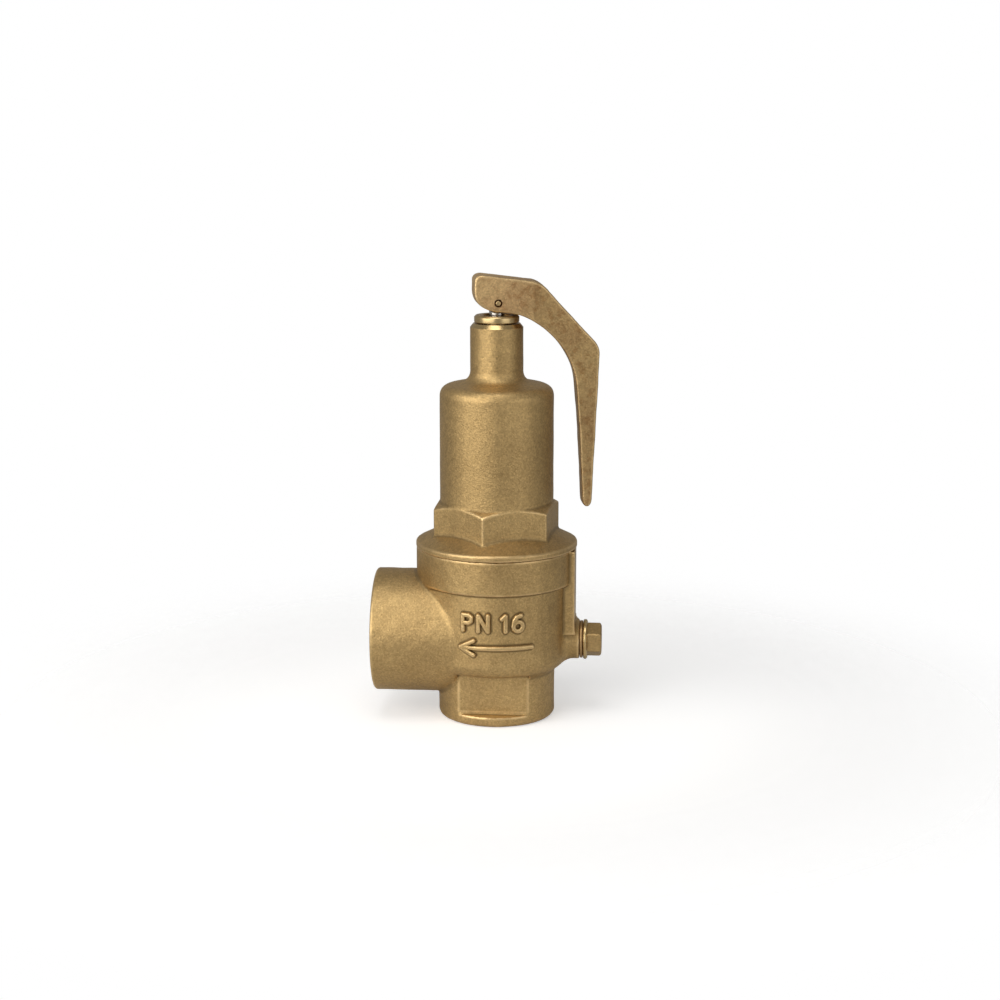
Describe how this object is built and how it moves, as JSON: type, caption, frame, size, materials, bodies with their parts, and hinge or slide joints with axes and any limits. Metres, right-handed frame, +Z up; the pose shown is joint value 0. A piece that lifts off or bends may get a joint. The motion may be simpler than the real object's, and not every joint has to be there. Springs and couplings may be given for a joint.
{
  "type": "pressure relief valve",
  "caption": "Spring-loaded angle-pattern relief valve in cast bronze: threaded inlet below, threaded outlet to one side, tall spring bonnet, easing lever on top and a plugged drain.",
  "frame": {"origin": "centre of the inlet face, on the axis of the inlet, seat and spring", "axes": "+Z up along the valve's axis from inlet to lever, -X out of the side outlet, +X out of the drain plug"},
  "size_m": [0.121, 0.0856, 0.236],
  "materials": {
    "cast_bronze": "sand-cast and shot-blasted, warm and slightly grainy",
    "lever_bronze": "sand-cast, slightly darker and redder than the body",
    "machined_brass": "turned, bright",
    "stainless": "turned, bright",
    "spring_steel": "dark, oiled",
    "rubber": "matt black",
    "copper": "annealed copper"
  },
  "bodies": {
    "housing": {"body_casting": "cast_bronze", "seat_ring": "machined_brass", "seat_gasket": "copper", "guide_plate": "machined_brass", "guide_seal": "rubber", "drain_washer": "copper", "drain_plug": "machined_brass", "bonnet": "cast_bronze", "bonnet_seal": "rubber", "lock_nut": "machined_brass", "main_spring": "spring_steel", "upper_spring_plate": "machined_brass", "thrust_washer": "stainless", "adjusting_screw": "machined_brass"},
    "valve_disc": {"disc_carrier": "machined_brass", "seal_disc": "rubber", "seal_retainer": "stainless", "retainer_screw": "stainless", "lower_spring_plate": "machined_brass", "carrier_snap_ring": "stainless", "lift_washer": "stainless"},
    "spindle": {"spindle": "stainless", "foot_nut": "stainless", "foot_pin": "stainless"},
    "lever": {"lever": "lever_bronze", "lever_pin": "stainless"}
  },
  "joints": [
    {"name": "disc_lift", "type": "slide", "parent": "housing", "child": "valve_disc", "axis": [0, 0, 1], "range_m": [0, 0.0062], "deforming": ["main_spring"]},
    {"name": "lever_swivel", "type": "hinge", "parent": "valve_disc", "child": "spindle", "pos_m": [0, 0, 0.2], "axis": [0, 0, 1], "continuous": true},
    {"name": "lever_pull", "type": "hinge", "parent": "spindle", "child": "lever", "pos_m": [0, 0, 0.2215], "axis": [0.1736, -0.9848, 0], "range_deg": [0, 75]}
  ],
  "couplings": [
    {"joint": "disc_lift", "follows": "lever_pull", "m_per_rad": 0.0047}
  ]
}
